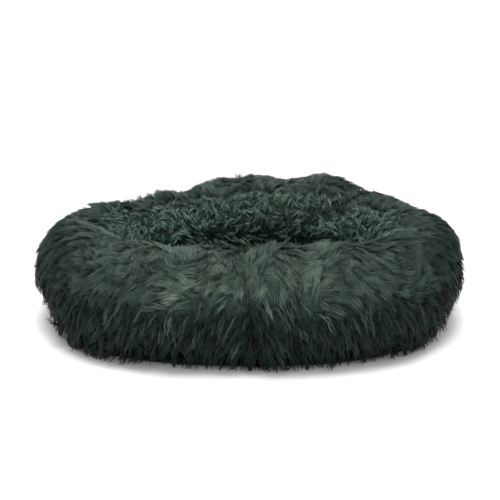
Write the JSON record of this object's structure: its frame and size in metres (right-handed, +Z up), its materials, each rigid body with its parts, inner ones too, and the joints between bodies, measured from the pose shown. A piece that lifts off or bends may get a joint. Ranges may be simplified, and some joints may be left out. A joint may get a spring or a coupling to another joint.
{
  "type": "pet cushion bed",
  "caption": "Oblong-oval plush pet bed: a stuffed, long-pile ring bolster round a low sleeping pad, in a removable cover that unzips underneath.",
  "frame": {"origin": "middle of the footprint, on the floor that the bed stands on", "axes": "+X to the right along the bed's length as seen from its front, +Y to its back, +Z up"},
  "size_m": [0.75, 0.59, 0.19],
  "materials": {
    "fur": "long-pile faux fur, dark green-grey with paler tips",
    "base_cloth": "plain-weave polyester with raised non-slip dots",
    "binding": "woven polyester binding",
    "casing": "non-woven casing cloth, wrinkled",
    "fibre": "loose polyester fibre",
    "zip_tape": "herringbone woven tape",
    "nylon": "nylon coil",
    "zinc": "gunmetal-plated zinc",
    "label": "blank woven satin"
  },
  "bodies": {
    "bed": {"bolster_cover_left": "fur", "bolster_cover_right": "fur", "pad_cover": "fur", "base_panel_front": "base_cloth", "base_panel_rear": "base_cloth", "base_seam_binding": "binding", "pad_seam_tape": "binding", "bolster_casing": "casing", "bolster_fill": "fibre", "pad_casing_top": "casing", "pad_casing_bottom": "casing", "pad_fill": "fibre", "zip_tape_front": "zip_tape", "zip_tape_rear": "zip_tape", "zip_coil_front": "nylon", "zip_coil_rear": "nylon", "zip_top_stop_front": "zinc", "zip_top_stop_rear": "zinc", "zip_bottom_stop": "zinc", "care_label": "label"},
    "slider": {"zip_slider": "zinc"},
    "pull": {"zip_pull": "zinc"}
  },
  "joints": [
    {"name": "zip_slide", "type": "slide", "parent": "bed", "child": "slider", "axis": [-1, 0, 0], "range_m": [0, 0.374]},
    {"name": "zip_pull_swing", "type": "hinge", "parent": "slider", "child": "pull", "pos_m": [0.187, 0, 0.0015], "axis": [0, 1, 0], "range_deg": [0, 175]}
  ]
}
